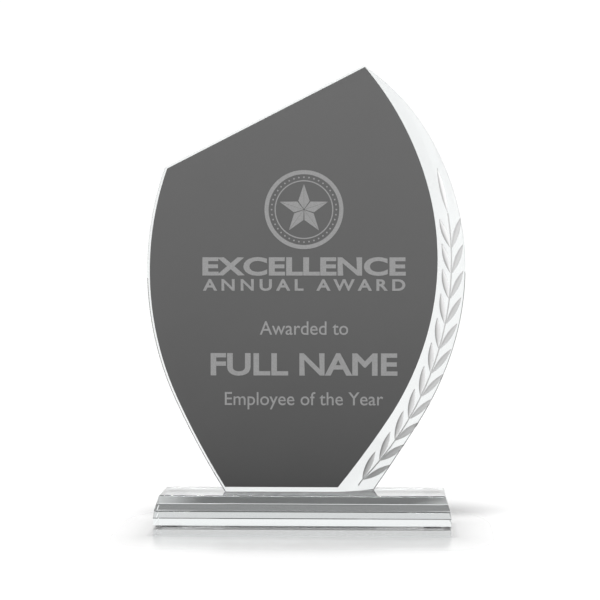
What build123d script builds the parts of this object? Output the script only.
from build123d import *
import os
from math import atan2, cos, degrees, radians, sin, tan

# Crystal award: a clear sail-shaped plaque with a smoke-grey face, bonded upright on a
# clear faceted base. Millimetres. +Z is up, -Y is the front, and the origin is the
# bottom centre of the whole award.

# Overall
OVERALL_HEIGHT = 225.0
PLAQUE_WIDTH = 157.0

# Base block: a vertical foot band, then two facets that lean in all round
BASE_LENGTH = 145.0
BASE_DEPTH = 47.0
BASE_TOP = 15.2
BASE_CENTRE_X = -1.35
LOWER_FACET_START = 4.6
UPPER_FACET_START = 8.4
LOWER_FACET_RUN_X = 0.6
LOWER_FACET_RUN_Y = 0.8
UPPER_FACET_RUN_X = 2.2
UPPER_FACET_RUN_Y = 3.2
BASE_ARRIS = 0.3

# Bumper feet under the base
FOOT_DIAMETER = 9.0
FOOT_HEIGHT = 0.8
FOOT_INSET = 9.0

# Adhesive film between base and plaque
BOND_THICKNESS = 0.1

# Plaque
PLAQUE_THICKNESS = 13.0
PLAQUE_FRONT_Y = -4.0
PLAQUE_FOOT_Z = BASE_TOP + BOND_THICKNESS
BACK_ARRIS = 0.5
LEFT_BEVEL = 1.5
TOP_BEVEL = 1.0
BOTTOM_BEVEL = 2.4
THIN_BEVEL_ANGLE = 45.0
BOTTOM_BEVEL_ANGLE = 28.0
CRESCENT_BEVEL_ANGLE = 37.0
RIM_ARRIS = 0.5
RIM_ARRIS_ANGLE = 68.0

# Corners and edge points of the plaque, as (X, Z)
APEX = (28.2, OVERALL_HEIGHT)
SHOULDER = (-69.8, 175.0)
LEFT_WIDEST = (-PLAQUE_WIDTH / 2, 122.0)
LEFT_LOW = (-64.7, 60.7)
LEFT_FOOT = (-40.2, PLAQUE_FOOT_Z)
RIGHT_HIGH = (59.4, 192.9)
RIGHT_WIDEST = (PLAQUE_WIDTH / 2, 128.2)
RIGHT_LOW = (75.0, 95.0)
RIGHT_LOWER = (55.9, 49.6)
RIGHT_FOOT = (33.3, PLAQUE_FOOT_Z)

# Points on the line where the flat face ends and the crescent bevel begins
CRESCENT_HIGH = (58.9, 168.9)
CRESCENT_WIDEST = (64.6, 128.0)
CRESCENT_LOW = (58.8, 90.4)
CRESCENT_LOWER = (40.2, 51.0)
CRESCENT_FOOT = (13.8, PLAQUE_FOOT_Z)

# Reach of each bevelling cut, outwards and past both ends of its edge
CRESCENT_REACH = 30.0
THIN_BEVEL_REACH = 6.0
CUT_CLEARANCE = 1.0

# Smoke-grey face and the marks printed on it
FACE_THICKNESS = 0.2
PRINT_THICKNESS = 0.1
TEXT_CENTRE_X = -1.0

# Emblem: a five-pointed star inside two rings
EMBLEM_CENTRE_Z = 154.4
EMBLEM_RADIUS = 19.4
EMBLEM_RING_WIDTH = 2.0
INNER_RING_RADIUS = 16.2
INNER_RING_WIDTH = 0.7
STAR_RADIUS = 13.6
STAR_POINTS = 5
STAR_WAIST_RATIO = 0.40

# Laurel branch cut into the crescent bevel
STEM_FOOT = (25.7, 18.0)
STEM_FIRST_LEAF = (28.1, 21.3)
STEM_LOW = (68.5, 98.2)
STEM_MID = (71.4, 123.3)
STEM_TIP = (64.3, 175.1)
STEM_WIDTH = 0.6
ENGRAVING_DEPTH = 0.4
LEAF_PAIRS = 11
LEAF_LENGTH = 15.0
LEAF_WIDTH = 3.0
LEAF_ANGLE = 18.5
LEAF_GAP = 0.5
LEAF_SPACING = 12.6
FIRST_LEAF_AT = 4.0
CROWN_LEAF_GAP = 0.1
CROWN_LEAF_LENGTH = 23.0
CROWN_LEAF_WIDTH = 2.6

os.makedirs("parts", exist_ok=True)

FRONT_PLANE = Plane.XZ.offset(-PLAQUE_FRONT_Y)
PRINT_PLANE = FRONT_PLANE.offset(FACE_THICKNESS)
INTO_PLAQUE = Vector(0, 1, 0)


# ---------------------------------------------------------------- base block
base_levels = (
    (FOOT_HEIGHT, 0.0, 0.0),
    (LOWER_FACET_START, 0.0, 0.0),
    (UPPER_FACET_START, LOWER_FACET_RUN_X, LOWER_FACET_RUN_Y),
    (
        BASE_TOP,
        LOWER_FACET_RUN_X + UPPER_FACET_RUN_X,
        LOWER_FACET_RUN_Y + UPPER_FACET_RUN_Y,
    ),
)

with BuildPart() as crystal_base:
    for lower, upper in zip(base_levels, base_levels[1:]):
        for height, inset_x, inset_y in (lower, upper):
            with BuildSketch(Plane((BASE_CENTRE_X, 0, height))):
                Rectangle(BASE_LENGTH - 2 * inset_x, BASE_DEPTH - 2 * inset_y)
        loft(ruled=True)
    top_rim = crystal_base.faces().sort_by(Axis.Z)[-1].edges()
    underside_rim = crystal_base.faces().sort_by(Axis.Z)[0].edges()
    chamfer(top_rim + underside_rim, BASE_ARRIS)

crystal_base.part.label = "crystal_base"
export_step(crystal_base.part, "parts/crystal_base.step")


# ---------------------------------------------------------------- bumper feet
foot_x = BASE_LENGTH / 2 - FOOT_INSET
foot_y = BASE_DEPTH / 2 - FOOT_INSET
feet = {
    "bumper_foot_front_left": (-foot_x, -foot_y),
    "bumper_foot_front_right": (foot_x, -foot_y),
    "bumper_foot_rear_left": (-foot_x, foot_y),
    "bumper_foot_rear_right": (foot_x, foot_y),
}

for foot_name, (x, y) in feet.items():
    with BuildPart() as bumper_foot:
        with BuildSketch(Plane((BASE_CENTRE_X + x, y, 0))):
            Circle(FOOT_DIAMETER / 2)
        extrude(amount=FOOT_HEIGHT)
        chamfer(bumper_foot.edges().sort_by(Axis.Z)[0], FOOT_HEIGHT / 4)
    bumper_foot.part.label = foot_name
    export_step(bumper_foot.part, f"parts/{foot_name}.step")


# ---------------------------------------------------------------- plaque blank
# Edge lines of the flat front face, drawn in its plane.
with BuildLine(FRONT_PLANE) as left_edge:
    left_upper = ThreePointArc(SHOULDER, LEFT_WIDEST, LEFT_LOW)
    TangentArc(left_upper @ 1, LEFT_FOOT, tangent=left_upper % 1)

with BuildLine(FRONT_PLANE) as bottom_edge:
    Line(LEFT_FOOT, RIGHT_FOOT)

with BuildLine(FRONT_PLANE) as top_edge:
    Line(APEX, SHOULDER)

with BuildLine(FRONT_PLANE) as right_edge:
    right_middle = ThreePointArc(RIGHT_HIGH, RIGHT_WIDEST, RIGHT_LOW)
    TangentArc(right_middle @ 0, APEX, tangent=-(right_middle % 0))
    right_lower = TangentArc(right_middle @ 1, RIGHT_LOWER, tangent=right_middle % 1)
    TangentArc(right_lower @ 1, RIGHT_FOOT, tangent=right_lower % 1)

with BuildLine(FRONT_PLANE) as crescent_edge:
    crescent_middle = ThreePointArc(CRESCENT_HIGH, CRESCENT_WIDEST, CRESCENT_LOW)
    TangentArc(crescent_middle @ 0, APEX, tangent=-(crescent_middle % 0))
    crescent_lower = TangentArc(
        crescent_middle @ 1, CRESCENT_LOWER, tangent=crescent_middle % 1
    )
    TangentArc(crescent_lower @ 1, CRESCENT_FOOT, tangent=crescent_lower % 1)

# The left arris starts this far from the rim on the flat face, so that it takes the last
# RIM_ARRIS of the bevel
left_arris_start = RIM_ARRIS + (LEFT_BEVEL - RIM_ARRIS) / tan(radians(RIM_ARRIS_ANGLE))

# Each bevel is a wedge swept along its edge: (edge, width, angle from the face, reach)
bevels = (
    (left_edge, LEFT_BEVEL, THIN_BEVEL_ANGLE, THIN_BEVEL_REACH),
    (left_edge, left_arris_start, RIM_ARRIS_ANGLE, THIN_BEVEL_REACH),
    (bottom_edge, BOTTOM_BEVEL, BOTTOM_BEVEL_ANGLE, THIN_BEVEL_REACH),
    (top_edge, TOP_BEVEL, THIN_BEVEL_ANGLE, THIN_BEVEL_REACH),
    (crescent_edge, 0.0, CRESCENT_BEVEL_ANGLE, CRESCENT_REACH),
)
plaque_middle = Vector(0, PLAQUE_FRONT_Y, OVERALL_HEIGHT / 2)

with BuildPart() as plaque_blank:
    with BuildSketch(FRONT_PLANE):
        with BuildLine():
            for edge_line in (left_edge, bottom_edge, right_edge, top_edge):
                add(FRONT_PLANE.to_local_coords(edge_line.line))
        make_face()
    extrude(amount=-PLAQUE_THICKNESS)
    chamfer(plaque_blank.faces().sort_by(Axis.Y)[-1].edges(), BACK_ARRIS)
    for edge_line, width, angle, reach in bevels:
        edge_wire = edge_line.wires()[0]
        with BuildLine() as cut_path:
            add(edge_wire)
            Line(edge_wire @ 0, edge_wire @ 0 - edge_wire % 0 * reach / 2)
            Line(edge_wire @ 1, edge_wire @ 1 + edge_wire % 1 * reach / 2)
        cut_wire = cut_path.wires()[0]
        start = cut_wire @ 0
        outward = INTO_PLAQUE.cross(cut_wire % 0)
        if outward.dot(edge_wire @ 0.5 - plaque_middle) < 0:
            outward = -outward
        slope = tan(radians(angle))
        with BuildSketch(Plane(start, x_dir=outward, z_dir=outward.cross(INTO_PLAQUE))):
            with BuildLine():
                Polyline(
                    (-width - CUT_CLEARANCE / slope, -CUT_CLEARANCE),
                    (reach, -CUT_CLEARANCE),
                    (reach, (width + reach) * slope),
                    close=True,
                )
            make_face()
        sweep(path=cut_wire, mode=Mode.SUBTRACT)
    # The rim where the crescent bevel meets the plaque's right wall
    crescent_rim = plaque_blank.edges().sort_by_distance(
        (RIGHT_WIDEST[0], PLAQUE_FRONT_Y + PLAQUE_THICKNESS / 2, RIGHT_WIDEST[1])
    )[0]
    chamfer(crescent_rim, RIM_ARRIS)


# ---------------------------------------------------------------- laurel branch
# The stem rises from the foot of the crescent bevel to the crown leaf at its tip. Each
# cutter is a straight prism with its underside ENGRAVING_DEPTH below the bevel.
with BuildLine(FRONT_PLANE) as stem_line:
    stem_upper = ThreePointArc(STEM_LOW, STEM_MID, STEM_TIP)
    stem_lower = TangentArc(
        stem_upper @ 0, STEM_FIRST_LEAF, tangent=-(stem_upper % 0)
    )
    TangentArc(stem_lower @ 1, STEM_FOOT, tangent=stem_lower % 1)

stem_wire = stem_line.wires()[0]
crown_at = 1 - CROWN_LEAF_LENGTH / stem_wire.length
crown_root = stem_wire @ crown_at
crown_axis = stem_wire @ 1 - crown_root
engraved_floor = plaque_blank.part.moved(Location(INTO_PLAQUE * ENGRAVING_DEPTH))
cutter_start = -INTO_PLAQUE * CUT_CLEARANCE
cutter_length = PLAQUE_THICKNESS + CUT_CLEARANCE

# Each leaf: (root, direction, length, width)
leaves = []
for pair in range(LEAF_PAIRS):
    station = (FIRST_LEAF_AT + pair * LEAF_SPACING) / stem_wire.length
    growth = stem_wire % station
    sideways = INTO_PLAQUE.cross(growth)
    for side in (-1, 1):
        leaf_root = stem_wire @ station + sideways * side * LEAF_GAP
        leaf_axis = growth.rotate(Axis.Y, LEAF_ANGLE * side)
        leaves.append((leaf_root, leaf_axis, LEAF_LENGTH, LEAF_WIDTH))
crown_leaf = (
    crown_root + crown_axis.normalized() * CROWN_LEAF_GAP,
    crown_axis,
    crown_axis.length - CROWN_LEAF_GAP,
    CROWN_LEAF_WIDTH,
)

with BuildPart() as stem_cutter:
    with BuildSketch(FRONT_PLANE.offset(CUT_CLEARANCE)):
        with BuildLine():
            add(FRONT_PLANE.to_local_coords(stem_wire.trim(0, crown_at)))
        trace(line_width=STEM_WIDTH)
    extrude(amount=-cutter_length)
    add(engraved_floor, mode=Mode.SUBTRACT)

leaf_cutters = {}
for cutter_name, leaf_group in (
    ("laurel_leaves", leaves),
    ("laurel_crown_leaf", [crown_leaf]),
):
    with BuildPart() as leaf_cutter:
        for leaf_root, leaf_axis, length, width in leaf_group:
            leaf_plane = Plane(
                leaf_root + cutter_start, x_dir=leaf_axis, z_dir=-INTO_PLAQUE
            )
            with BuildSketch(leaf_plane):
                with BuildLine():
                    ThreePointArc((0, 0), (length / 2, width / 2), (length, 0))
                    ThreePointArc((length, 0), (length / 2, -width / 2), (0, 0))
                make_face()
            extrude(amount=-cutter_length)
        add(engraved_floor, mode=Mode.SUBTRACT)
    leaf_cutters[cutter_name] = leaf_cutter.part

laurel_cutters = {"laurel_stem": stem_cutter.part, **leaf_cutters}
for node_name, cutter in laurel_cutters.items():
    with BuildPart() as laurel_infill:
        add(cutter)
        add(plaque_blank.part, mode=Mode.INTERSECT)
    laurel_infill.part.label = node_name
    export_step(laurel_infill.part, f"parts/{node_name}.step")


# ---------------------------------------------------------------- finished plaque
with BuildPart() as crystal_plaque:
    add(plaque_blank.part)
    for cutter in laurel_cutters.values():
        add(cutter, mode=Mode.SUBTRACT)

crystal_plaque.part.label = "crystal_plaque"
export_step(crystal_plaque.part, "parts/crystal_plaque.step")


# ---------------------------------------------------------------- adhesive film
plaque_foot = plaque_blank.faces().sort_by(Axis.Z)[0]
with BuildPart() as plaque_bond:
    extrude(to_extrude=plaque_foot, amount=BOND_THICKNESS, dir=(0, 0, -1))

plaque_bond.part.label = "plaque_bond"
export_step(plaque_bond.part, "parts/plaque_bond.step")


# ---------------------------------------------------------------- smoke-grey face
front_face = plaque_blank.faces().sort_by(Axis.Y)[0]
with BuildPart() as smoke_face:
    extrude(to_extrude=front_face, amount=FACE_THICKNESS, dir=-INTO_PLAQUE)

smoke_face.part.label = "smoke_face"
export_step(smoke_face.part, "parts/smoke_face.step")


# ---------------------------------------------------------------- emblem
emblem_plane = Plane(
    (TEXT_CENTRE_X, PRINT_PLANE.origin.Y, EMBLEM_CENTRE_Z),
    x_dir=(1, 0, 0),
    z_dir=-INTO_PLAQUE,
)
star_corners = []
for corner in range(2 * STAR_POINTS):
    radius = STAR_RADIUS * (STAR_WAIST_RATIO if corner % 2 else 1)
    turn = radians(90 + 180 * corner / STAR_POINTS)
    star_corners.append((radius * cos(turn), radius * sin(turn)))

with BuildPart() as emblem_print:
    with BuildSketch(emblem_plane):
        Circle(EMBLEM_RADIUS)
        Circle(EMBLEM_RADIUS - EMBLEM_RING_WIDTH, mode=Mode.SUBTRACT)
        Circle(INNER_RING_RADIUS)
        Circle(INNER_RING_RADIUS - INNER_RING_WIDTH, mode=Mode.SUBTRACT)
        with BuildLine():
            Polyline(*star_corners, close=True)
        make_face()
    extrude(amount=PRINT_THICKNESS)

emblem_print.part.label = "emblem_print"
export_step(emblem_print.part, "parts/emblem_print.step")


# ---------------------------------------------------------------- printed lines
# Block capitals built from round-ended bars. A letter is one or more runs of grid
# points, written as column and row digits on a grid 4 wide and 6 high.
LETTERS = {
    "A": ("00 26 40", "12 32"),
    "C": ("41 30 10 01 05 16 36 45",),
    "D": ("00 06 26 44 42 20 00",),
    "E": ("40 00 06 46", "03 33"),
    "F": ("00 06 46", "03 33"),
    "H": ("00 06", "40 46", "03 43"),
    "L": ("06 00 40",),
    "M": ("00 06 23 46 40",),
    "N": ("00 06 40 46",),
    "O": ("10 01 05 16 36 45 41 30 10",),
    "P": ("00 06 36 45 44 33 03",),
    "R": ("00 06 36 45 44 33 03", "23 40"),
    "T": ("06 46", "26 20"),
    "U": ("06 01 10 30 41 46",),
    "W": ("06 10 24 30 46",),
    "X": ("00 46", "06 40"),
    "Y": ("06 23 46", "23 20"),
}
GRID_COLUMNS = 4
GRID_ROWS = 6
LETTER_WIDTH_RATIO = 0.55
BOLD_STROKE_RATIO = 0.16
PLAIN_STROKE_RATIO = 0.11

# name: (words, height of the line's middle, capital height, length, stroke ratio)
printed_lines = {
    "heading_print": ("EXCELLENCE", 126.5, 9.4, 100.0, BOLD_STROKE_RATIO),
    "subheading_print": ("ANNUAL AWARD", 117.4, 6.0, 99.8, BOLD_STROKE_RATIO),
    "dedication_print": ("AWARDED TO", 96.2, 6.0, 49.0, PLAIN_STROKE_RATIO),
    "name_print": ("FULL NAME", 78.3, 11.4, 95.0, BOLD_STROKE_RATIO),
    "title_print": ("EMPLOYEE OF THE YEAR", 61.4, 5.2, 78.0, PLAIN_STROKE_RATIO),
}

for line_name, (words, middle_z, capitals, length, stroke_ratio) in printed_lines.items():
    stroke = capitals * stroke_ratio
    grid_x = (capitals * LETTER_WIDTH_RATIO - stroke) / GRID_COLUMNS
    grid_y = (capitals - stroke) / GRID_ROWS
    letter_width = GRID_COLUMNS * grid_x
    pitch = (length - letter_width - stroke) / (len(words) - 1)
    line_start = TEXT_CENTRE_X - (length - stroke) / 2
    baseline = middle_z - GRID_ROWS * grid_y / 2
    with BuildPart() as printed_line:
        for index, letter in enumerate(words):
            if letter == " ":
                continue
            letter_origin = (line_start + index * pitch, PRINT_PLANE.origin.Y, baseline)
            with BuildSketch(Plane(letter_origin, x_dir=(1, 0, 0), z_dir=-INTO_PLAQUE)):
                for run in LETTERS[letter]:
                    points = [
                        Vector(int(column) * grid_x, int(row) * grid_y)
                        for column, row in run.split()
                    ]
                    for bar_start, bar_end in zip(points, points[1:]):
                        bar = bar_end - bar_start
                        middle = (bar_start + bar_end) / 2
                        lean = degrees(atan2(bar.Y, bar.X))
                        with Locations(Location(middle, (0, 0, lean))):
                            SlotCenterToCenter(bar.length, stroke)
            extrude(amount=PRINT_THICKNESS)
    printed_line.part.label = line_name
    export_step(printed_line.part, f"parts/{line_name}.step")
